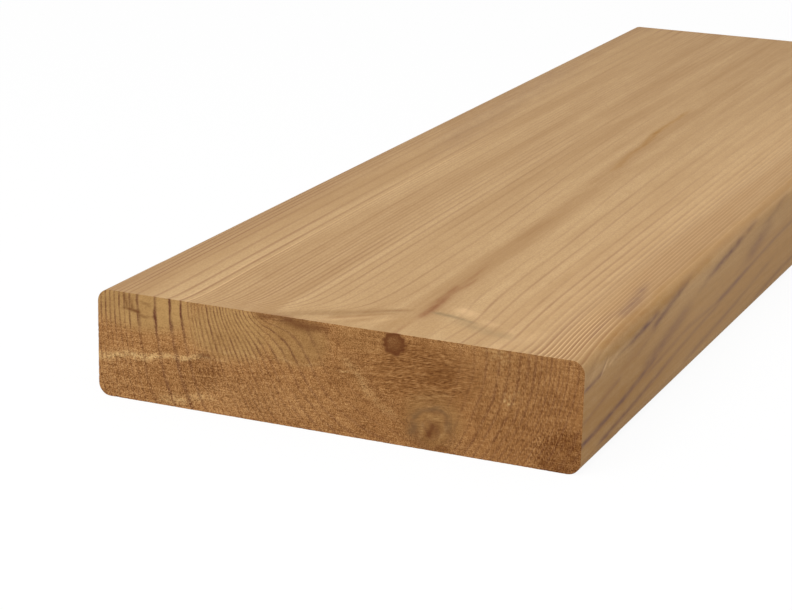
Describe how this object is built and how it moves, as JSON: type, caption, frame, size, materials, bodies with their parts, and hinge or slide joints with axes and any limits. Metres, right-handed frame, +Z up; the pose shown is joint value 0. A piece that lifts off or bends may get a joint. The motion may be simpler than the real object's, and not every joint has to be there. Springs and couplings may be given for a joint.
{
  "type": "heat-treated board",
  "caption": "Short length of solid heat-treated pine board, planed with rounded long edges and square-sawn ends, for decking, cladding, benches and trim.",
  "frame": {"origin": "middle of the underside, which lies on Z = 0", "axes": "+X across the width, +Y along the grain and the length, +Z up through the thickness"},
  "size_m": [0.12, 0.4, 0.026],
  "materials": {
    "heat_treated_pine": "planed, unoiled; sawn on the ends"
  },
  "bodies": {
    "root": {"heat_treated_board": "heat_treated_pine"}
  },
  "joints": []
}
